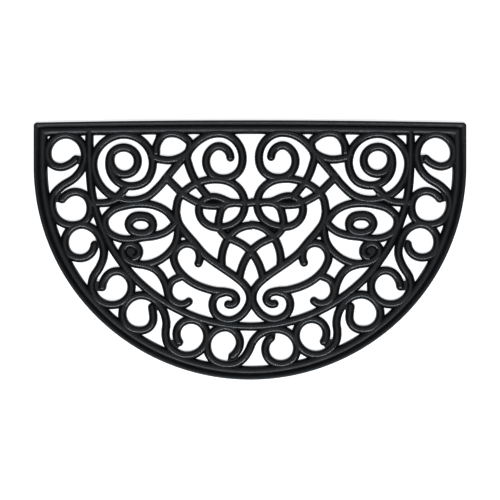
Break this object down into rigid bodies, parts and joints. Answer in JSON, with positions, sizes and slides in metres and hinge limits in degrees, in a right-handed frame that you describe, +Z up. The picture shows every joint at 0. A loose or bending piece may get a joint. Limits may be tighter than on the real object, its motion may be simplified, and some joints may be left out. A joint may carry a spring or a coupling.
{
  "type": "rubber doormat",
  "caption": "Half-round openwork doormat moulded in one piece of black rubber, with scrollwork bars inside a grooved rim, for scraping shoes at a door.",
  "frame": {"origin": "on the floor under the middle of the mat's length and width", "axes": "+X to the right along the straight edge, +Y towards the straight edge (the door side), +Z up from the floor"},
  "size_m": [0.762, 0.457, 0.009],
  "materials": {
    "rubber": "satin"
  },
  "bodies": {
    "root": {"mat": "rubber"}
  },
  "joints": []
}
